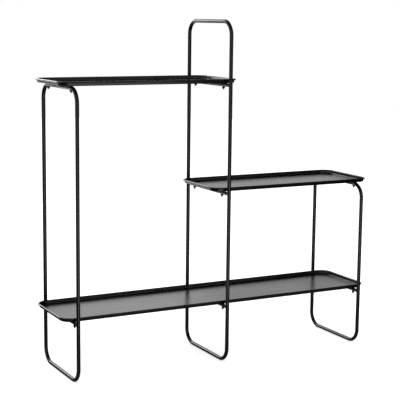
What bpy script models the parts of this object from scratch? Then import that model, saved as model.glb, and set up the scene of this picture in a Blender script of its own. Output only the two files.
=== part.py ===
# A free-standing metal shelving unit. Three closed loops of round tube carry three long trays with
# rolled rims. Each loop is bent up in two halves, which are welded end to end in the legs. Crossbars
# welded between the legs hold up the trays wherever a loop runs on past them, and each tray is
# screwed down at every loop that it meets.
# Lengths are in metres. +X runs along the unit, the front faces -Y, +Z is up, and the unit stands on
# z = 0 with the centre loop in the plane x = 0.

import math

import bmesh
import bpy

# The unit as a whole
unitLength = 1.0  # from tray end to tray end
legSpacing = 0.252  # between the centre lines of the two legs of a loop
bottomRimHeight = 0.185  # from the floor to the top of the bottom tray's rim
middleTrayRise = 0.3295  # from the bottom tray's rim up to the middle tray's
topTrayRise = 0.308  # from the middle tray's rim up to the top tray's
tallLoopRise = 0.1655  # from the top tray's rim up to the top of the centre loop
seatGap = 0.0003  # left between pieces that touch

# The loops and the crossbars
tubeDiameter = 0.011
bendRadius = 0.040  # of a loop's four corners, at the tube's centre line
jointHeightShare = 0.45  # of a loop's height, where its two halves meet in the legs
crossbarDiameter = 0.010

# The trays
legClearance = 0.008  # from a tray's rim to the leg beside it
cornerRadius = 0.036  # of a tray's plan, at the outside of its rim
cornerToLoop = 0.003  # from the end of that corner to the plane of the outer loop
trayHeight = 0.012  # from the underside of the floor to the top of the rim
sheetThickness = 0.001
beadDiameter = 0.005  # the rolled edge
curlGap = 0.0007  # from the end of the roll to the wall that it comes back to
floorBendRadius = 0.002  # inside the tray, where the floor turns up into the wall
wallLean = math.radians(6.0)  # outward from the vertical

# The screws and nuts, whose other sizes keep a metric screw's proportions
screwDiameter = 0.005
screwLength = 0.020  # under the head, which takes it through the nut
holeClearance = 0.0003  # all round the screw, in the floor, the tube and the nut
headWallGap = 0.0007  # from a bottom tray's screw head to the bend of the floor
railEndInset = 0.0015  # from an upper screw's axis to the end of the straight rail
headWidthShare = 1.9
headHeightShare = 0.55
shoulderWidthShare = 0.8  # of the head's width, where its dome turns over
shoulderHeightShare = 0.7  # of the head's height
socketWidthShare = 0.6
socketDepthShare = 0.3
tipWidthShare = 0.75
tipBevelShare = 0.14
nutWidthShare = 1.6  # across the flats
nutHeightShare = 0.8
nutBevelShare = 0.12  # of the nut's height

# How finely the round forms are faceted
tubeSides = 16
bendSteps = 8
cornerSteps = 7
rollSteps = (2, 3, 3)  # up to the rim's top, out to its side, and round to the end of the roll
floorBendSteps = 3
screwSides = 12
smoothAngle = math.radians(40.0)

# What follows from these sizes
trayOverhang = cornerRadius + cornerToLoop
loopSpan = unitLength / 2 - trayOverhang
tubeRadius = tubeDiameter / 2
screwRadius = screwDiameter / 2
beadRadius = beadDiameter / 2
trayHalfWidth = legSpacing / 2 - tubeRadius - legClearance
headHeight = headHeightShare * screwDiameter
nutHeight = nutHeightShare * screwDiameter
middleRimHeight = bottomRimHeight + middleTrayRise
topRimHeight = middleRimHeight + topTrayRise

loopPlanes = {"left": -loopSpan, "centre": 0.0, "right": loopSpan}
rimHeights = {"bottom": bottomRimHeight, "middle": middleRimHeight, "top": topRimHeight}
trayEnds = {
    "bottom": (-unitLength / 2, unitLength / 2),
    "middle": (-trayOverhang, unitLength / 2),
    "top": (-unitLength / 2, trayOverhang),
}
railSeats = {("left", "top"), ("right", "middle")}  # a loop's own top rail carries the tray here
crossbarSeats = [
    ("left", "bottom"),
    ("centre", "bottom"),
    ("right", "bottom"),
    ("centre", "middle"),
    ("centre", "top"),
]


def trayUnderside(tray):
    return rimHeights[tray] - trayHeight


def barTop(tray):
    return trayUnderside(tray) - seatGap


loopHeights = {
    "left": barTop("top"),
    "centre": topRimHeight + tallLoopRise,
    "right": barTop("middle"),
}


def clearScene():
    for item in list(bpy.data.objects):
        bpy.data.objects.remove(item, do_unlink=True)


def finish(name, color, roughness, metallic):
    material = bpy.data.materials.new(name)
    material.use_nodes = True
    shader = material.node_tree.nodes["Principled BSDF"]
    shader.inputs["Base Color"].default_value = (*color, 1.0)
    shader.inputs["Roughness"].default_value = roughness
    shader.inputs["Metallic"].default_value = metallic
    material.diffuse_color = (*color, 1.0)
    return material


def meshFromShape(name, shape):
    bmesh.ops.recalc_face_normals(shape, faces=shape.faces)
    mesh = bpy.data.meshes.new(name)
    shape.to_mesh(mesh)
    shape.free()
    mesh.shade_smooth()
    mesh.set_sharp_from_angle(angle=smoothAngle)
    return mesh


def meshFromRings(name, rings, closed=False, openEdge=False):
    # Joins each ring of points to the next. An open edge leaves a ring's last point unjoined to its
    # first, and the rows of first points and of last points are then filled across.
    shape = bmesh.new()
    rows = [[shape.verts.new(point) for point in ring] for ring in rings]
    sides = len(rows[0])
    pairs = list(zip(rows, rows[1:]))
    if closed:
        pairs.append((rows[-1], rows[0]))
    for lower, upper in pairs:
        for index in range(sides - 1 if openEdge else sides):
            after = (index + 1) % sides
            shape.faces.new((lower[index], lower[after], upper[after], upper[index]))
    if openEdge:
        shape.faces.new([row[0] for row in rows])
        shape.faces.new([row[-1] for row in rows])
    elif not closed:
        shape.faces.new(rows[0])
        shape.faces.new(rows[-1])
    return meshFromShape(name, shape)


def place(name, mesh, material, location, parent):
    item = bpy.data.objects.new(name, mesh)
    item.location = location
    item.parent = parent
    if not mesh.materials:
        mesh.materials.append(material)
    bpy.context.scene.collection.objects.link(item)
    return item


def placeCutter(name, mesh, location, parent):
    item = bpy.data.objects.new(name, mesh)
    item.location = location
    item.parent = parent
    item.display_type = "WIRE"
    item.hide_render = True
    bpy.context.scene.collection.objects.link(item)
    return item


def cutWith(item, cutter):
    cut = item.modifiers.new("cut_" + cutter.name, "BOOLEAN")
    cut.operation = "DIFFERENCE"
    cut.solver = "EXACT"
    cut.object = cutter


def flatSided(radius, sides):
    # A many-sided section with a flat at the bottom, as wide across its flats as the round one.
    reach = radius / math.cos(math.pi / sides)
    turns = [2 * math.pi * (index + 0.5) / sides for index in range(sides)]
    return [(reach * math.cos(turn), reach * math.sin(turn)) for turn in turns]


def tubeRing(centreY, centreZ, turn):
    ring = []
    for outward, across in flatSided(tubeRadius, tubeSides):
        reach = bendRadius + outward
        y = centreY + reach * math.cos(turn)
        z = centreZ + reach * math.sin(turn)
        ring.append((across, y, z))
    return ring


def halfLoopRings(endZ, bendZ, startTurn):
    # The tube runs from one leg round two bends into the other leg, in the YZ plane.
    startY = (legSpacing / 2 - bendRadius) * math.cos(startTurn)
    rings = [tubeRing(startY, endZ, startTurn)]
    for quarter, centreY in enumerate((startY, -startY)):
        for step in range(bendSteps + 1):
            turn = startTurn + math.pi / 2 * (quarter + step / bendSteps)
            rings.append(tubeRing(centreY, bendZ, turn))
    rings.append(tubeRing(-startY, endZ, startTurn + math.pi))
    return rings


def loopHalves(height):
    jointZ = jointHeightShare * height
    lowBendZ = tubeRadius + bendRadius
    highBendZ = height - tubeRadius - bendRadius
    return {
        "lower": halfLoopRings(jointZ - seatGap / 2, lowBendZ, math.pi),
        "upper": halfLoopRings(jointZ + seatGap / 2, highBendZ, 0.0),
    }


def crossbarRings():
    section = flatSided(crossbarDiameter / 2, tubeSides)
    return [[(x, end, z) for x, z in section] for end in (-legSpacing / 2, legSpacing / 2)]


def arcPoints(centre, radius, startTurn, endTurn, steps):
    points = []
    for step in range(steps + 1):
        turn = startTurn + (endTurn - startTurn) * step / steps
        points.append((centre[0] + radius * math.cos(turn), centre[1] + radius * math.sin(turn)))
    return points


def rollPoints(centre, radius, startTurn, endTurn):
    # The roll passes exactly through its highest and its outermost points.
    marks = (startTurn, math.pi / 2, 0.0, endTurn)
    points = [(centre[0] + radius * math.cos(startTurn), centre[1] + radius * math.sin(startTurn))]
    for mark, nextMark, steps in zip(marks, marks[1:], rollSteps):
        points += arcPoints(centre, radius, mark, nextMark, steps)[1:]
    return points


def trayProfile():
    # The bent sheet in section, as pairs of inset and height. Insets count outward from the rim's
    # outermost line, so they are negative inside it. The section runs from the underside of the
    # floor up the outside of the wall, round the inside of the roll, back round its outside, and
    # down the inside of the wall to the top of the floor.
    lean = (math.cos(wallLean), -math.sin(wallLean))
    beadCentre = (-beadRadius, trayHeight - beadRadius)
    beadMiddle = beadRadius - sheetThickness / 2
    wallTop = (beadCentre[0] - beadMiddle * lean[0], beadCentre[1] - beadMiddle * lean[1])
    bendMiddle = floorBendRadius + sheetThickness / 2
    drop = wallTop[1] - bendMiddle * lean[1] - sheetThickness / 2 - bendMiddle
    bendInset = wallTop[0] - drop * math.tan(wallLean) - bendMiddle * lean[0]
    bendCentre = (bendInset, sheetThickness / 2 + bendMiddle)
    rollLeft = math.acos(1 - (sheetThickness + curlGap) / beadMiddle)
    rollStart = math.pi - wallLean
    rollEnd = rollStart - (2 * math.pi - rollLeft)
    outerBend = bendMiddle + sheetThickness / 2
    innerRoll = beadRadius - sheetThickness
    outside = arcPoints(bendCentre, outerBend, -math.pi / 2, -wallLean, floorBendSteps)
    outside += rollPoints(beadCentre, innerRoll, rollStart, rollEnd)
    inside = rollPoints(beadCentre, beadRadius, rollStart, rollEnd)[::-1]
    inside += arcPoints(bendCentre, floorBendRadius, -wallLean, -math.pi / 2, floorBendSteps)
    return outside + inside


def floorHalfWidth():
    # Half the width of a tray's flat floor, between the bends at its edges.
    return trayHalfWidth + trayProfile()[0][0]


def trayRings(length):
    # The section follows a rectangle with round corners in plan.
    profile = trayProfile()
    sideX = length / 2 - cornerRadius
    sideY = trayHalfWidth - cornerRadius
    corners = [(sideX, sideY), (-sideX, sideY), (-sideX, -sideY), (sideX, -sideY)]
    rings = []
    for quarter, (centreX, centreY) in enumerate(corners):
        for step in range(cornerSteps + 1):
            turn = math.pi / 2 * (quarter + step / cornerSteps)
            ring = []
            for inset, height in profile:
                reach = cornerRadius + inset
                x = centreX + reach * math.cos(turn)
                y = centreY + reach * math.sin(turn)
                ring.append((x, y, height))
            rings.append(ring)
    return rings


def roundRing(radius, z):
    # Corners lie on the ring's turns, with flats as wide apart as the round form.
    reach = radius / math.cos(math.pi / screwSides)
    turns = [2 * math.pi * index / screwSides for index in range(screwSides)]
    return [(reach * math.cos(turn), reach * math.sin(turn), z) for turn in turns]


def hexRing(width, z):
    # A hexagon with a point in the middle of each side, so that it joins a ring of twelve. A flat
    # faces each way along the rail, and the corners point along the unit.
    ring = []
    for index in range(screwSides):
        turn = 2 * math.pi * index / screwSides
        reach = width / 2
        if index % 2 == 0:
            reach = width / math.sqrt(3)
        ring.append((reach * math.cos(turn), reach * math.sin(turn), z))
    return ring


def screwRings():
    # The head's seat is at z = 0 and the screw hangs down from it.
    headRadius = headWidthShare * screwRadius
    socketWidth = socketWidthShare * screwDiameter
    socketFloor = headHeight - socketDepthShare * screwDiameter
    bevel = tipBevelShare * screwDiameter
    return [
        roundRing(tipWidthShare * screwRadius, -screwLength),
        roundRing(screwRadius, bevel - screwLength),
        roundRing(screwRadius, 0.0),
        roundRing(headRadius, 0.0),
        roundRing(shoulderWidthShare * headRadius, shoulderHeightShare * headHeight),
        hexRing(socketWidth, headHeight),
        hexRing(socketWidth, socketFloor),
    ]


def nutRings():
    # The top is at z = 0, against the tube. The underside is turned down to a round face.
    width = nutWidthShare * screwDiameter
    boreRadius = screwRadius + holeClearance
    bevel = nutBevelShare * nutHeight
    return [
        roundRing(boreRadius, 0.0),
        hexRing(width, 0.0),
        hexRing(width, bevel - nutHeight),
        roundRing(width / 2 * math.cos(math.pi / screwSides), -nutHeight),
        roundRing(boreRadius, -nutHeight),
    ]


def postsMesh(name, radius, sides, halfSpacing, lowZ, highZ):
    # Two upright posts, one on either side of the middle line, in one cutting shape.
    shape = bmesh.new()
    section = flatSided(radius, sides)
    for middleY in (-halfSpacing, halfSpacing):
        low = [shape.verts.new((x, middleY + y, lowZ)) for x, y in section]
        high = [shape.verts.new((x, middleY + y, highZ)) for x, y in section]
        for index in range(sides):
            after = (index + 1) % sides
            shape.faces.new((low[index], low[after], high[after], high[index]))
        shape.faces.new(low)
        shape.faces.new(high)
    return meshFromShape(name, shape)


def screwOffset(tray):
    # How far a screw stands from the middle line. In the bottom tray it stands as far out as its
    # head allows, and in the others at the end of the rail's straight stretch, if the floor is wide
    # enough for that.
    floorLimit = floorHalfWidth() - headWidthShare * screwRadius - headWallGap
    if tray == "bottom":
        return floorLimit
    return min(floorLimit, legSpacing / 2 - bendRadius - railEndInset)


def barDiameterAt(seat):
    return tubeDiameter if seat in railSeats else crossbarDiameter


def buildLoops(iron, parent):
    loops = {}
    for side, plane in loopPlanes.items():
        for half, rings in loopHalves(loopHeights[side]).items():
            name = "loop_" + side + "_" + half
            mesh = meshFromRings(name, rings)
            loops[side, half] = place(name, mesh, iron, (plane, 0.0, 0.0), parent)
    return loops


def buildTrays(iron, parent):
    trays = {}
    for level, (start, end) in trayEnds.items():
        mesh = meshFromRings("tray_" + level, trayRings(end - start), closed=True, openEdge=True)
        location = ((start + end) / 2, 0.0, trayUnderside(level))
        trays[level] = place("tray_" + level, mesh, iron, location, parent)
    return trays


def buildCrossbars(iron, parent):
    # Each end is hollowed out to fit round its leg.
    crossbars = {}
    legShapes = {}
    for side, plane in loopPlanes.items():
        shape = postsMesh(
            "leg_shape_" + side,
            tubeRadius + seatGap,
            tubeSides,
            legSpacing / 2,
            0.0,
            loopHeights[side],
        )
        legShapes[side] = placeCutter("leg_shape_" + side, shape, (plane, 0.0, 0.0), parent)
    for side, level in crossbarSeats:
        name = "crossbar_" + side + "_" + level
        location = (loopPlanes[side], 0.0, barTop(level) - crossbarDiameter / 2)
        mesh = meshFromRings(name, crossbarRings())
        crossbars[side, level] = place(name, mesh, iron, location, parent)
        cutWith(crossbars[side, level], legShapes[side])
    return crossbars


def drillSeat(seat, pieces, parent):
    # One pair of holes goes through the tray's floor and the bar under it.
    side, level = seat
    reach = barDiameterAt(seat) + trayHeight
    holes = postsMesh(
        "holes_" + side + "_" + level,
        screwRadius + holeClearance,
        screwSides,
        screwOffset(level),
        -reach,
        trayHeight,
    )
    location = (loopPlanes[side], 0.0, trayUnderside(level))
    drill = placeCutter(holes.name, holes, location, parent)
    for piece in pieces:
        cutWith(piece, drill)


def buildFasteners(steel, parent):
    screwMesh = meshFromRings("screw", screwRings())
    nutMesh = meshFromRings("nut", nutRings(), closed=True)
    for seat in crossbarSeats + sorted(railSeats):
        side, level = seat
        offset = screwOffset(level)
        headSeat = trayUnderside(level) + sheetThickness + seatGap
        nutSeat = barTop(level) - barDiameterAt(seat) - seatGap
        for end, y in (("front", -offset), ("back", offset)):
            label = side + "_" + level + "_" + end
            x = loopPlanes[side]
            place("screw_" + label, screwMesh, steel, (x, y, headSeat), parent)
            place("nut_" + label, nutMesh, steel, (x, y, nutSeat), parent)


def buildUnit():
    clearScene()
    unit = bpy.data.objects.new("shelving_unit", None)
    bpy.context.scene.collection.objects.link(unit)
    loopIron = finish("loop_iron", (0.012, 0.012, 0.012), 0.42, 0.0)
    trayIron = finish("tray_iron", (0.015, 0.015, 0.016), 0.36, 0.0)
    screwSteel = finish("screw_steel", (0.018, 0.018, 0.018), 0.45, 0.6)
    loops = buildLoops(loopIron, unit)
    trays = buildTrays(trayIron, unit)
    crossbars = buildCrossbars(loopIron, unit)
    for seat in crossbarSeats:
        drillSeat(seat, (trays[seat[1]], crossbars[seat]), unit)
    for seat in sorted(railSeats):
        drillSeat(seat, (trays[seat[1]], loops[seat[0], "upper"]), unit)
    buildFasteners(screwSteel, unit)


buildUnit()
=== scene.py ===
import math

import bmesh
import bpy
from mathutils import Matrix, Vector


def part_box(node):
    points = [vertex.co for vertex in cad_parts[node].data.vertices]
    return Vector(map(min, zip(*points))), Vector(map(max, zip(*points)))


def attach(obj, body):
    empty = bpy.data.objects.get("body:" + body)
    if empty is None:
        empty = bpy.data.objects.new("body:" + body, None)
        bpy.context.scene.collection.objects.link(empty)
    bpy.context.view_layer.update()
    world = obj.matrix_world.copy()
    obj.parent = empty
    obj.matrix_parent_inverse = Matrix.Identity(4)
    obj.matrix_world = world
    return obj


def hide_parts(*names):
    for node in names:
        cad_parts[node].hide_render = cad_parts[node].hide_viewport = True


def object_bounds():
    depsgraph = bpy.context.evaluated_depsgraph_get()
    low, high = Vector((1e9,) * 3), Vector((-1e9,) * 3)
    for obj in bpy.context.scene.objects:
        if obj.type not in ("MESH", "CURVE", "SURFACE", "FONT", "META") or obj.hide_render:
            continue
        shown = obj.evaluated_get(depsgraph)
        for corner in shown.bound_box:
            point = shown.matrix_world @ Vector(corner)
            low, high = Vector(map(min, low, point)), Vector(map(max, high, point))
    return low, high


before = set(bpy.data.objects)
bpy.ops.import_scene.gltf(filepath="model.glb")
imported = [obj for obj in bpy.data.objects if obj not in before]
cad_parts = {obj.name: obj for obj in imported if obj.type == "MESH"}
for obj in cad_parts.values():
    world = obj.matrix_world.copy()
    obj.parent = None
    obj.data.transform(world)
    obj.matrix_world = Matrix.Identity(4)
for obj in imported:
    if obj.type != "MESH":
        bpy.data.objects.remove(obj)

# The looks of a free-standing iron shelving unit: three closed tube loops, three long trays with
# rolled rims, crossbars welded between the legs, and a screw and nut at each end of every seat.
# Lengths are in metres. +X runs along the unit, the front faces -Y and +Z is up.

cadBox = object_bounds()
print("frame loaded with", len(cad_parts), "solids")

mm = 0.001
plainWhite = (1.0, 1.0, 1.0, 1.0)
sharpEdge = math.radians(35)  # a steeper turn between two faces shows as an edge
loopSides = ["left", "centre", "right"]
trayLevels = ["bottom", "middle", "top"]
crossbarSeats = [
    ("left", "bottom"),
    ("centre", "bottom"),
    ("right", "bottom"),
    ("centre", "middle"),
    ("centre", "top"),
]
railSeats = [("left", "top"), ("right", "middle")]  # here a loop's own top rail carries the tray


# Mesh making

def finishMesh(name, shape, sharpAngle):
    bmesh.ops.recalc_face_normals(shape, faces=shape.faces)
    mesh = bpy.data.meshes.new(name)
    shape.to_mesh(mesh)
    shape.free()
    mesh.shade_smooth()
    mesh.set_sharp_from_angle(angle=sharpAngle)
    return mesh


def meshFromRings(name, rings, closed=False, sharpAngle=sharpEdge):
    # Skins a row of rings. A closed row joins its last ring to its first, an open one gets end faces.
    shape = bmesh.new()
    rows = [[shape.verts.new(point) for point in ring] for ring in rings]
    pairs = list(zip(rows, rows[1:]))
    if closed:
        pairs.append((rows[-1], rows[0]))
    for lower, upper in pairs:
        for index in range(len(lower)):
            after = (index + 1) % len(lower)
            shape.faces.new((lower[index], lower[after], upper[after], upper[index]))
    if not closed:
        shape.faces.new(rows[0])
        shape.faces.new(rows[-1])
    return finishMesh(name, shape, sharpAngle)


def addPiece(name, mesh, material, nodes, location=(0.0, 0.0, 0.0), spin=0.0):
    piece = bpy.data.objects.new(name, mesh)
    piece.location = location
    piece.rotation_euler = (0.0, 0.0, spin)
    bpy.context.scene.collection.objects.link(piece)
    if not mesh.materials:
        mesh.materials.append(material)
    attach(piece, "root")
    if nodes:
        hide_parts(*nodes)


def arc(centre, radius, startTurn, endTurn, steps):
    points = []
    for step in range(steps + 1):
        turn = startTurn + (endTurn - startTurn) * step / steps
        points.append((centre[0] + radius * math.cos(turn), centre[1] + radius * math.sin(turn)))
    return points


def circle(radius, sides):
    return arc((0.0, 0.0), radius, 0.0, 2 * math.pi, sides)[:-1]


def ringOfRadii(radii, z):
    # A level ring whose points stand at equal turns, each at its own radius.
    count = len(radii)
    ring = []
    for index, radius in enumerate(radii):
        turn = 2 * math.pi * index / count
        ring.append((radius * math.cos(turn), radius * math.sin(turn), z))
    return ring


def roundRing(radius, count, z):
    return ringOfRadii([radius] * count, z)


def hexRadii(acrossFlats, count):
    # Points on a hexagon that has a corner on the X axis.
    sixth = math.pi / 3
    radii = []
    for index in range(count):
        turn = (2 * math.pi * index / count) % sixth - sixth / 2
        radii.append(acrossFlats / 2 / math.cos(turn))
    return radii


# Finishes

def nodeMaker(material):
    nodes = material.node_tree.nodes
    links = material.node_tree.links

    def make(kind, inputs=None, **settings):
        node = nodes.new(kind)
        for key, value in settings.items():
            setattr(node, key, value)
        for key, value in (inputs or {}).items():
            if isinstance(value, bpy.types.NodeSocket):
                links.new(value, node.inputs[key])
            else:
                node.inputs[key].default_value = value
        return node

    return make


def noise(make, place, grain):
    # A grain is a pair: how fine it is, per metre, and its detail.
    fineness, detail = grain
    inputs = {"Vector": place, "Scale": fineness, "Detail": detail}
    return make("ShaderNodeTexNoise", inputs).outputs["Fac"]


def mapRange(make, value, taken, given):
    # Carries a value from the taken range to the given one, and no further.
    inputs = {
        "Value": value,
        "From Min": taken[0],
        "From Max": taken[1],
        "To Min": given[0],
        "To Max": given[1],
    }
    return make("ShaderNodeMapRange", inputs).outputs["Result"]


def combine(make, operation, first, second):
    return make("ShaderNodeMath", {0: first, 1: second}, operation=operation).outputs["Value"]


def bump(make, height, depth, under=None):
    inputs = {"Height": height, "Strength": 1.0, "Distance": depth}
    if under is not None:
        inputs["Normal"] = under
    return make("ShaderNodeBump", inputs).outputs["Normal"]


def mixedTone(make, cloud, look):
    # The colour drifts between two tones with the cloud.
    ramp = make("ShaderNodeValToRGB", {"Fac": cloud})
    darkest, lightest = ramp.color_ramp.elements
    darkest.position, lightest.position = look["toneBreaks"]
    darkest.color = look["darkest"]
    lightest.color = look["lightest"]
    return ramp.outputs["Color"]


def newMaterial(name, inputs):
    material = bpy.data.materials.new(name)
    material.use_nodes = True
    shader = material.node_tree.nodes["Principled BSDF"]
    for key, value in inputs.items():
        shader.inputs[key].default_value = value
    return material, shader


blackPaint = {
    "darkest": (0.0038, 0.0036, 0.0034, 1.0),
    "lightest": (0.0066, 0.0063, 0.0059, 1.0),
    "toneBreaks": (0.35, 0.65),  # of the cloud, where the darkest tone ends and the lightest begins
    "cloud": (9.0, 4.0),  # broad uneven patches
    "glossBreaks": (0.3, 0.7),  # of the cloud, where the roughness is lowest and highest
    "peel": (900.0, 2.0),  # the fine skin of sprayed paint
    "peelDepth": 0.001 * mm,
    "speck": (2600.0, 1.0),
    "speckDepth": 0.0002 * mm,
    "specular": 0.5,
    "sheen": (1.0, 0.985, 0.95, 1.0),  # a faint warm cast of the gloss
}
loopPaint = dict(blackPaint, roughness=(0.22, 0.28))
trayPaint = dict(blackPaint, roughness=(0.17, 0.21))
trayWear = {
    "markStretch": (4.0, 90.0, 60.0),  # wiping marks run along a tray
    "mark": (1.0, 5.0),
    "markBreaks": (0.35, 0.75),
    "markRoughness": (-0.01, 0.02),  # added to the paint's own
    "floorRoughness": 0.09,  # added where a face is level, from years of wiping
    "levelBreaks": (0.96, 0.995),  # of the normal's upward part, where that begins and is full
    "wave": (7.0, 0.0),  # the sheet is never quite flat
    "waveDepth": 0.12 * mm,
}
steelLook = {
    "darkest": (0.020, 0.019, 0.018, 1.0),
    "lightest": (0.060, 0.057, 0.054, 1.0),
    "toneBreaks": (0.3, 0.75),
    "cloud": (260.0, 3.0),
    "glossBreaks": (0.0, 1.0),
    "roughness": (0.32, 0.48),
    "grain": (4200.0, 2.0),
    "grainDepth": 0.006 * mm,
    "metallic": 0.8,
}


def makePaint(name, look, wear=None):
    sockets = {"Specular IOR Level": look["specular"], "Specular Tint": look["sheen"]}
    material, shader = newMaterial(name, sockets)
    make = nodeMaker(material)
    coordinates = make("ShaderNodeTexCoord").outputs
    place = coordinates["Object"]
    cloud = noise(make, place, look["cloud"])
    gloss = mapRange(make, cloud, look["glossBreaks"], look["roughness"])
    skin = bump(make, noise(make, place, look["peel"]), look["peelDepth"])
    skin = bump(make, noise(make, place, look["speck"]), look["speckDepth"], skin)
    if wear:
        drawn = make("ShaderNodeMapping", {"Vector": place, "Scale": wear["markStretch"]}).outputs["Vector"]
        marks = noise(make, drawn, wear["mark"])
        marks = mapRange(make, marks, wear["markBreaks"], wear["markRoughness"])
        facing = make("ShaderNodeSeparateXYZ", {"Vector": coordinates["Normal"]}).outputs["Z"]
        level = mapRange(make, facing, wear["levelBreaks"], (0.0, wear["floorRoughness"]))
        gloss = combine(make, "ADD", gloss, combine(make, "ADD", level, marks))
        skin = bump(make, noise(make, place, wear["wave"]), wear["waveDepth"], skin)
    links = material.node_tree.links
    links.new(mixedTone(make, cloud, look), shader.inputs["Base Color"])
    links.new(gloss, shader.inputs["Roughness"])
    links.new(skin, shader.inputs["Normal"])
    return material


def makeSteel(name, look):
    material, shader = newMaterial(name, {"Metallic": look["metallic"]})
    make = nodeMaker(material)
    place = make("ShaderNodeTexCoord").outputs["Object"]
    cloud = noise(make, place, look["cloud"])
    gloss = mapRange(make, cloud, look["glossBreaks"], look["roughness"])
    grain = bump(make, noise(make, place, look["grain"]), look["grainDepth"])
    links = material.node_tree.links
    links.new(mixedTone(make, cloud, look), shader.inputs["Base Color"])
    links.new(gloss, shader.inputs["Roughness"])
    links.new(grain, shader.inputs["Normal"])
    return material


loopIron = makePaint("satin_black_tube_paint", loopPaint)
trayIron = makePaint("satin_black_tray_paint", trayPaint, trayWear)
blackSteel = makeSteel("blackened_steel", steelLook)
print("finishes made")


# The loops

loopShape = {
    "sides": 48,
    "bendSteps": 24,
    "bendRadius": 40 * mm,
    "bendFlattening": 0.03,  # of the tube's radius, halfway round a bend
    "bendSpread": 0.012,
}


def loopFacts(side):
    low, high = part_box("loop_" + side + "_lower")
    radius = (high.x - low.x) / 2
    return {
        "plane": (high.x + low.x) / 2,
        "radius": radius,
        "legY": high.y - radius,
        "top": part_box("loop_" + side + "_upper")[1].z,
        "bottom": low.z,
    }


def makeLoop(side):
    facts = loopFacts(side)
    bend = loopShape["bendRadius"]
    reachY = facts["legY"] - bend
    lowZ = facts["bottom"] + facts["radius"] + bend
    highZ = facts["top"] - facts["radius"] - bend
    rings = []
    corners = [(reachY, highZ), (-reachY, highZ), (-reachY, lowZ), (reachY, lowZ)]
    for quarter, (centreY, centreZ) in enumerate(corners):
        for step in range(loopShape["bendSteps"] + 1):
            share = step / loopShape["bendSteps"]
            turn = math.pi / 2 * (quarter + share)
            strain = math.sin(math.pi * share) ** 2
            deep = facts["radius"] * (1 - loopShape["bendFlattening"] * strain)
            wide = facts["radius"] * (1 + loopShape["bendSpread"] * strain)
            ring = []
            for outward, across in circle(1.0, loopShape["sides"]):
                reach = bend + deep * outward
                y = centreY + reach * math.cos(turn)
                z = centreZ + reach * math.sin(turn)
                ring.append((facts["plane"] + wide * across, y, z))
            rings.append(ring)
    mesh = meshFromRings("loop_tube_" + side, rings, closed=True)
    nodes = ["loop_" + side + "_lower", "loop_" + side + "_upper"]
    addPiece("loop_tube_" + side, mesh, loopIron, nodes)


for side in loopSides:
    makeLoop(side)
print("loops made")


# The trays

trayShape = {
    "sheet": 1.0 * mm,
    "rollRadius": 2.5 * mm,  # to the outside of the roll
    "rollOpening": 0.7 * mm,  # left between the end of the roll and the wall
    "floorBend": 2.0 * mm,  # inside the tray
    "wallLean": math.radians(6),
    "cornerRadius": 36 * mm,
    "cornerSteps": 20,
    "rollSteps": 22,
    "bendSteps": 7,
    "flatMargin": 3 * mm,  # a level strip of floor next to the bend
    "sharpEdge": math.radians(50),
}


def traySection(height):
    # Pairs of inset and height, from the underside of the floor up the outside, round the roll and
    # down the inside to the top of the floor. Insets are negative inwards from the rim's outer line.
    sheet = trayShape["sheet"]
    roll = trayShape["rollRadius"]
    lean = trayShape["wallLean"]
    rollCentre = (-roll, height - roll)
    rollMiddle = roll - sheet / 2
    wallTop = (rollCentre[0] - rollMiddle * math.cos(lean), rollCentre[1] + rollMiddle * math.sin(lean))
    bendMiddle = trayShape["floorBend"] + sheet / 2
    drop = wallTop[1] + bendMiddle * math.sin(lean) - sheet / 2 - bendMiddle
    bendX = wallTop[0] - drop * math.tan(lean) - bendMiddle * math.cos(lean)
    bendCentre = (bendX, sheet / 2 + bendMiddle)
    opening = math.acos(1 - (sheet + trayShape["rollOpening"]) / rollMiddle)
    start = math.pi - lean
    end = start - (2 * math.pi - opening)
    outside = [(bendX - trayShape["flatMargin"], 0.0)]
    outside += arc(bendCentre, bendMiddle + sheet / 2, -math.pi / 2, -lean, trayShape["bendSteps"])
    outside += arc(rollCentre, roll - sheet, start, end, trayShape["rollSteps"])
    inside = arc(rollCentre, roll, end, start, trayShape["rollSteps"])
    inside += arc(bendCentre, trayShape["floorBend"], -lean, -math.pi / 2, trayShape["bendSteps"])
    inside.append((bendX - trayShape["flatMargin"], sheet))
    return outside + inside


def makeTray(level):
    low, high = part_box("tray_" + level)
    middle = (low + high) / 2
    section = traySection(high.z - low.z)
    corner = trayShape["cornerRadius"]
    sideX = (high.x - low.x) / 2 - corner
    sideY = (high.y - low.y) / 2 - corner
    corners = [(sideX, sideY), (-sideX, sideY), (-sideX, -sideY), (sideX, -sideY)]
    shape = bmesh.new()
    rows = []
    for quarter, (centreX, centreY) in enumerate(corners):
        for step in range(trayShape["cornerSteps"] + 1):
            turn = math.pi / 2 * (quarter + step / trayShape["cornerSteps"])
            row = []
            for inset, height in section:
                x = middle.x + centreX + (corner + inset) * math.cos(turn)
                y = middle.y + centreY + (corner + inset) * math.sin(turn)
                row.append(shape.verts.new((x, y, low.z + height)))
            rows.append(row)
    for row, nextRow in zip(rows, rows[1:] + rows[:1]):
        for index in range(len(section) - 1):
            shape.faces.new((row[index], row[index + 1], nextRow[index + 1], nextRow[index]))
    shape.faces.new([row[0] for row in rows])
    shape.faces.new([row[-1] for row in rows])
    mesh = finishMesh("tray_sheet_" + level, shape, trayShape["sharpEdge"])
    addPiece("tray_sheet_" + level, mesh, trayIron, ["tray_" + level])


for level in trayLevels:
    makeTray(level)
print("trays made")


# The crossbars and their welds

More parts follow.
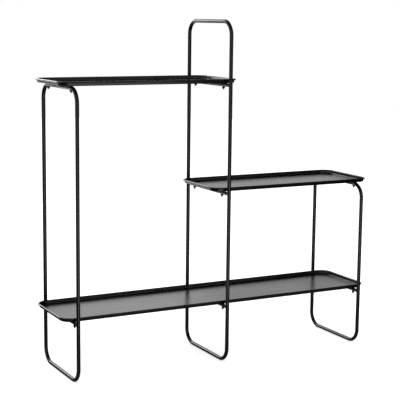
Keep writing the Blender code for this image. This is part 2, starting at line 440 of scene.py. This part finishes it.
crossbarShape = {
    "sides": 40,
    "weldBite": 0.2 * mm,  # how far a bar's end reaches into its leg
}
weldShape = {
    "radius": 0.85 * mm,
    "barStandOff": 0.1 * mm,  # from the bar's surface to the middle of the bead
    "legStandOff": 0.5 * mm,
    "ripples": 26,
    "rippleDepth": 0.16,  # of the bead's radius
    "steps": 156,
    "sides": 10,
    "nearTurn": 0.01,  # to each side of a point, for the way the bead runs there
    "sharpEdge": math.radians(70),
}


def barFacts(side, level):
    low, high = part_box("crossbar_" + side + "_" + level)
    facts = loopFacts(side)
    return {
        "plane": facts["plane"],
        "radius": (high.z - low.z) / 2,
        "height": (high.z + low.z) / 2,
        "legY": facts["legY"],
        "legRadius": facts["radius"],
    }


def makeCrossbar(side, level):
    bar = barFacts(side, level)
    bite = bar["legRadius"] - crossbarShape["weldBite"]
    rings = []
    for end in (-1, 1):
        ring = []
        for x, z in circle(bar["radius"], crossbarShape["sides"]):
            y = bar["legY"] - math.sqrt(max(bite ** 2 - x ** 2, 0.0))
            ring.append((bar["plane"] + x, end * y, bar["height"] + z))
        rings.append(ring)
    name = "crossbar_tube_" + side + "_" + level
    mesh = meshFromRings(name, rings)
    addPiece(name, mesh, loopIron, ["crossbar_" + side + "_" + level])


def weldPoint(bar, turn):
    reach = bar["radius"] + weldShape["barStandOff"]
    x = reach * math.cos(turn)
    y = bar["legY"] - math.sqrt((bar["legRadius"] + weldShape["legStandOff"]) ** 2 - x ** 2)
    return Vector((x, y, reach * math.sin(turn)))


def makeWeld(side, level, end):
    bar = barFacts(side, level)
    nearTurn = weldShape["nearTurn"]
    rings = []
    for step in range(weldShape["steps"]):
        turn = 2 * math.pi * step / weldShape["steps"]
        middle = weldPoint(bar, turn)
        along = (weldPoint(bar, turn + nearTurn) - weldPoint(bar, turn - nearTurn)).normalized()
        up = Vector((math.cos(turn), 0.0, math.sin(turn)))
        up = (up - along * up.dot(along)).normalized()
        sideways = along.cross(up)
        wave = abs(math.sin(weldShape["ripples"] * turn / 2))
        radius = weldShape["radius"] * (1 - weldShape["rippleDepth"] * (1 - wave))
        ring = []
        for outward, across in circle(radius, weldShape["sides"]):
            point = middle + up * outward + sideways * across
            ring.append((bar["plane"] + point.x, end * point.y, bar["height"] + point.z))
        rings.append(ring)
    name = "weld_" + side + "_" + level + ("_back" if end > 0 else "_front")
    mesh = meshFromRings(name, rings, closed=True, sharpAngle=weldShape["sharpEdge"])
    addPiece(name, mesh, loopIron, [])


for side, level in crossbarSeats:
    makeCrossbar(side, level)
    makeWeld(side, level, -1)
    makeWeld(side, level, 1)
print("crossbars welded in")


# The screws and nuts

screwShape = {
    "diameter": 5.0 * mm,
    "headWidth": 9.5 * mm,
    "headHeight": 2.75 * mm,
    "headEdge": 0.12 * mm,  # the bevel at the head's lower edge
    "rimHeight": 0.7 * mm,  # the upright edge below the dome
    "topWidth": 4.6 * mm,
    "socketWidth": 3.0 * mm,
    "socketDepth": 1.5 * mm,
    "socketFlare": 0.3 * mm,  # wider at the socket's mouth
    "flareDepth": 0.2 * mm,
    "pitch": 0.8 * mm,
    "threadDepth": 0.45 * mm,
    "threadLength": 10.5 * mm,
    "threadFade": 6,  # the thread runs out in the last sixth of its length
    "crestShare": 0.12,  # of a pitch, for the flat crest, and as much for the root
    "tipWidth": 3.9 * mm,
    "tipFlat": 0.3,  # of the tip's width
    "sides": 36,
    "stepsPerPitch": 6,
    "domeSteps": 7,
}
nutShape = {
    "width": 8.0 * mm,
    "bore": 5.2 * mm,
    "countersink": 0.4 * mm,
    "chamfer": math.radians(28),
    "faceShare": 0.93,  # of the width, for the round faces at the top and bottom
    "sides": 48,
}
screwStop = math.radians(37)  # each screw stops this much further round than the one before
nutStop = 2 * screwStop
lengthPlaces = 6  # screws or nuts whose lengths agree to this many decimals share a mesh


def screwRings(length):
    # The head's seat is at z = 0 and the shank hangs below it.
    count = screwShape["sides"]
    radius = screwShape["diameter"] / 2
    tip = screwShape["tipWidth"] / 2
    thread = screwShape["threadLength"]
    crest = screwShape["crestShare"]
    rings = [roundRing(tip * screwShape["tipFlat"], count, -length)]
    steps = int(round(thread / screwShape["pitch"] * screwShape["stepsPerPitch"]))
    for step in range(steps + 1):
        rise = thread * step / steps
        fade = min(1.0, (1 - step / steps) * screwShape["threadFade"])
        radii = []
        for index in range(count):
            phase = (rise / screwShape["pitch"] - index / count) % 1.0
            flank = min(max((abs(2 * phase - 1) - crest) / (1 - 2 * crest), 0.0), 1.0)
            radii.append(min(radius - screwShape["threadDepth"] * flank * fade, tip + rise))
        rings.append(ringOfRadii(radii, rise - length))
    rings.append(roundRing(radius, count, 0.0))
    head = screwShape["headWidth"] / 2
    top = screwShape["topWidth"] / 2
    height = screwShape["headHeight"]
    edge = screwShape["headEdge"]
    rim = screwShape["rimHeight"]
    rings.append(roundRing(head - edge, count, 0.0))
    rings.append(roundRing(head, count, edge))
    rings.append(roundRing(head, count, rim))
    for step in range(1, screwShape["domeSteps"] + 1):
        turn = math.pi / 2 * step / screwShape["domeSteps"]
        reach = top + (head - top) * math.cos(turn)
        rings.append(roundRing(reach, count, rim + (height - rim) * math.sin(turn)))
    socket = screwShape["socketWidth"]
    rings.append(ringOfRadii(hexRadii(socket + screwShape["socketFlare"], count), height))
    rings.append(ringOfRadii(hexRadii(socket, count), height - screwShape["flareDepth"]))
    rings.append(ringOfRadii(hexRadii(socket, count), height - screwShape["socketDepth"]))
    return rings


def nutRings(height):
    # The nut's top is at z = 0. Both ends are turned down to a cone, which leaves arcs on the flats.
    count = nutShape["sides"]
    bore = nutShape["bore"] / 2
    sink = nutShape["countersink"]
    face = nutShape["width"] / 2 * nutShape["faceShare"]
    flats = hexRadii(nutShape["width"], count)
    slope = math.tan(nutShape["chamfer"])
    topEdge = []
    lowEdge = []
    for radius, (x, y, level) in zip(flats, ringOfRadii(flats, 0.0)):
        fall = (radius - face) * slope
        topEdge.append((x, y, level - fall))
        lowEdge.append((x, y, level - height + fall))
    return [
        roundRing(bore, count, -sink),
        roundRing(bore + sink, count, 0.0),
        roundRing(face, count, 0.0),
        topEdge,
        lowEdge,
        roundRing(face, count, -height),
        roundRing(bore + sink, count, -height),
        roundRing(bore, count, sink - height),
    ]


def makeFasteners():
    number = 0
    screwMeshes = {}
    nutMeshes = {}
    for side, level in crossbarSeats + railSeats:
        for end in ("front", "back"):
            label = side + "_" + level + "_" + end
            low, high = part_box("screw_" + label)
            middle = (low + high) / 2
            length = round(high.z - low.z - screwShape["headHeight"], lengthPlaces)
            if length not in screwMeshes:
                screwMeshes[length] = meshFromRings("screw", screwRings(length))
            seat = (middle.x, middle.y, high.z - screwShape["headHeight"])
            spin = number * screwStop
            screw = "button_screw_" + label
            addPiece(screw, screwMeshes[length], blackSteel, ["screw_" + label], seat, spin)
            low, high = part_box("nut_" + label)
            height = round(high.z - low.z, lengthPlaces)
            if height not in nutMeshes:
                nutMeshes[height] = meshFromRings("nut", nutRings(height), closed=True)
            seat = (middle.x, middle.y, high.z)
            spin = number * nutStop
            nut = "hex_nut_" + label
            addPiece(nut, nutMeshes[height], blackSteel, ["nut_" + label], seat, spin)
            number += 1


makeFasteners()
print("screws and nuts made")


# The floor, the light and the camera

floorLook = {
    "radius": 8.0,
    "sides": 96,
    "color": (0.90, 0.90, 0.90, 1.0),
    "roughness": 0.9,
    "ownGlow": 0.55,  # seen by the camera and in gloss, so that the ground reads as white
}
worldLook = {
    "seen": 1.0,  # behind the object and in its gloss
    "shed": 0.85,  # what it sheds on the object and the floor
}
# Softboxes and cards stand round the set, as they do for gloss black goods. A turn is in degrees
# from the camera's own direction, to the right seen from above, so that 180 is behind the camera.
softboxes = [
    {
        "name": "softbox_rims",
        "turn": -46,
        "reach": 3.2,
        "height": 1.70,
        "width": 1.2,
        "tall": 1.2,
        "radiance": 7.0,
    },
    {
        "name": "softbox_trays",
        "turn": -7,
        "reach": 4.5,
        "height": 1.30,
        "width": 1.1,
        "tall": 1.8,
        "radiance": 0.45,
    },
]
# Only gloss sees the cards. A shade of 0 is black.
floorCards = [
    # The first card is painted shade: a dark sheet at shade 0.16 right under the unit, seen only in gloss,
    # stands in for the shade the unit casts on the floor beneath it.
    {"turns": (-180, 180), "reach": (0.0, 0.75), "shade": 0.16},
    {"turns": (-34, 128), "reach": (0.75, 14.0), "shade": 0.0},
    {"turns": (-165, -60), "reach": (0.75, 14.0), "shade": 0.0},
]
wallCards = [
    {"turns": (-76, -44), "heights": (0.0, 1.1), "shade": 0.0},
    {"turns": (-4, 10), "heights": (3.4, 6.5), "shade": 0.0},
    {"turns": (10, 34), "heights": (2.0, 6.5), "shade": 0.0},
    {"turns": (34, 118), "heights": (0.0, 6.5), "shade": 0.0},
    {"turns": (118, 210), "heights": (0.0, 6.5), "shade": 0.45},
    {"turns": (210, 270), "heights": (0.0, 6.5), "shade": 0.70},
]
cardLook = {
    "roughness": 0.9,
    "reach": 5.0,  # from the unit to the wall cards
    "lift": 2 * mm,  # of the floor cards
    "turnStep": 6,  # degrees between the corners of a floor or wall card
    "ceiling": 6.5,  # the height of the card overhead
    "ceilingShade": 0.0,
    "ceilingStep": 15,
}
cameraLook = {
    "place": (-1.5830, -2.9186, 0.9945),
    "yaw": 0.4900,
    "pitch": -0.1590,
    "roll": 0.0114,
    "focalPixels": 1143.4,
    "framePixels": 400,
    "sensor": 36.0,
    "nearest": 0.05,
    "farthest": 100.0,
}


def seenRays(make):
    # One for the rays that the camera and glossy or clear surfaces send out.
    path = make("ShaderNodeLightPath").outputs
    first = combine(make, "MAXIMUM", path["Is Camera Ray"], path["Is Glossy Ray"])
    return combine(make, "MAXIMUM", first, path["Is Transmission Ray"])


def makeFloor():
    shape = bmesh.new()
    segments = floorLook["sides"]
    bmesh.ops.create_circle(shape, cap_ends=True, segments=segments, radius=floorLook["radius"])
    floor = bpy.data.objects.new("floor", finishMesh("floor", shape, math.pi))
    bpy.context.scene.collection.objects.link(floor)
    sockets = {
        "Base Color": floorLook["color"],
        "Roughness": floorLook["roughness"],
        "Specular IOR Level": 0.0,
        "Emission Color": plainWhite,
    }
    material, shader = newMaterial("pale_floor", sockets)
    make = nodeMaker(material)
    glow = combine(make, "MULTIPLY", seenRays(make), floorLook["ownGlow"])
    material.node_tree.links.new(glow, shader.inputs["Emission Strength"])
    floor.data.materials.append(material)


def makeWorld():
    world = bpy.data.worlds.new("studio")
    bpy.context.scene.world = world
    world.use_nodes = True
    make = nodeMaker(world)
    tree = world.node_tree
    shed = tree.nodes["Background"]
    shed.inputs["Color"].default_value = plainWhite
    shed.inputs["Strength"].default_value = worldLook["shed"]
    seen = make("ShaderNodeBackground", {"Color": plainWhite, "Strength": worldLook["seen"]})
    both = make("ShaderNodeMixShader", {"Fac": seenRays(make)})
    tree.links.new(shed.outputs["Background"], both.inputs[1])
    tree.links.new(seen.outputs["Background"], both.inputs[2])
    tree.links.new(both.outputs["Shader"], tree.nodes["World Output"].inputs["Surface"])


def towards(turn, reach, height):
    # A point at a turn from the camera's own direction, round the middle of the unit.
    angle = math.pi / 2 - cameraLook["yaw"] - math.radians(turn)
    return Vector((reach * math.cos(angle), reach * math.sin(angle), height))


def makeSoftbox(look):
    lamp = bpy.data.lights.new(look["name"], "AREA")
    lamp.shape = "RECTANGLE"
    lamp.size = look["width"]
    lamp.size_y = look["tall"]
    lamp.energy = look["radiance"] * math.pi * look["width"] * look["tall"]
    box = bpy.data.objects.new(look["name"], lamp)
    box.location = towards(look["turn"], look["reach"], look["height"])
    aim = Vector((0.0, 0.0, cadBox[1].z / 2)) - box.location
    box.rotation_euler = aim.to_track_quat("-Z", "Y").to_euler()
    box.visible_camera = False
    bpy.context.scene.collection.objects.link(box)


def cardMaterial(shade):
    sockets = {
        "Base Color": (shade, shade, shade, 1.0),
        "Roughness": cardLook["roughness"],
        "Specular IOR Level": 0.0,
    }
    return newMaterial("card_shade", sockets)[0]


def makeCard(name, corners, material):
    mesh = bpy.data.meshes.new(name)
    mesh.from_pydata(corners, [], [list(range(len(corners)))])
    mesh.materials.append(material)
    card = bpy.data.objects.new(name, mesh)
    card.visible_camera = False
    card.visible_diffuse = False
    card.visible_transmission = False
    card.visible_volume_scatter = False
    card.visible_shadow = False
    bpy.context.scene.collection.objects.link(card)


def turnPieces(turns):
    # The pairs of turns that a card's flat pieces lie between.
    start, end = turns
    count = max(1, round((end - start) / cardLook["turnStep"]))
    marks = [start + (end - start) * step / count for step in range(count + 1)]
    return zip(marks, marks[1:])


def makeCards():
    lift = cardLook["lift"]
    for number, card in enumerate(floorCards):
        near, far = card["reach"]
        material = cardMaterial(card["shade"])
        for piece, (start, end) in enumerate(turnPieces(card["turns"])):
            corners = [towards(start, near, lift), towards(end, near, lift)]
            corners += [towards(end, far, lift), towards(start, far, lift)]
            if near == 0.0:
                corners = corners[1:]  # both near corners are the same point
            makeCard("floor_card_%d_%d" % (number, piece), corners, material)
    reach = cardLook["reach"]
    for number, card in enumerate(wallCards):
        low, high = card["heights"]
        material = cardMaterial(card["shade"])
        for piece, (start, end) in enumerate(turnPieces(card["turns"])):
            corners = [towards(start, reach, low), towards(end, reach, low)]
            corners += [towards(end, reach, high), towards(start, reach, high)]
            makeCard("wall_card_%d_%d" % (number, piece), corners, material)
    turns = range(0, 360, cardLook["ceilingStep"])
    corners = [towards(turn, reach, cardLook["ceiling"]) for turn in turns]
    makeCard("ceiling_card", corners, cardMaterial(cardLook["ceilingShade"]))


def makeCamera():
    data = bpy.data.cameras.new("camera")
    data.sensor_width = cameraLook["sensor"]
    data.lens = cameraLook["focalPixels"] / cameraLook["framePixels"] * cameraLook["sensor"]
    data.clip_start = cameraLook["nearest"]
    data.clip_end = cameraLook["farthest"]
    yaw = cameraLook["yaw"]
    pitch = cameraLook["pitch"]
    roll = cameraLook["roll"]
    forward = Vector((
        math.sin(yaw) * math.cos(pitch),
        math.cos(yaw) * math.cos(pitch),
        math.sin(pitch),
    ))
    right = forward.cross(Vector((0.0, 0.0, 1.0))).normalized()
    up = right.cross(forward)
    rolledRight = right * math.cos(roll) + up * math.sin(roll)
    rolledUp = up * math.cos(roll) - right * math.sin(roll)
    turned = Matrix((rolledRight, rolledUp, -forward)).transposed().to_4x4()
    camera = bpy.data.objects.new("camera", data)
    camera.matrix_world = Matrix.Translation(cameraLook["place"]) @ turned
    bpy.context.scene.collection.objects.link(camera)
    bpy.context.scene.camera = camera


makeFloor()
makeWorld()
for softbox in softboxes:
    makeSoftbox(softbox)
makeCards()
makeCamera()
bpy.context.scene.view_settings.view_transform = "Standard"
print("floor, light and camera placed")
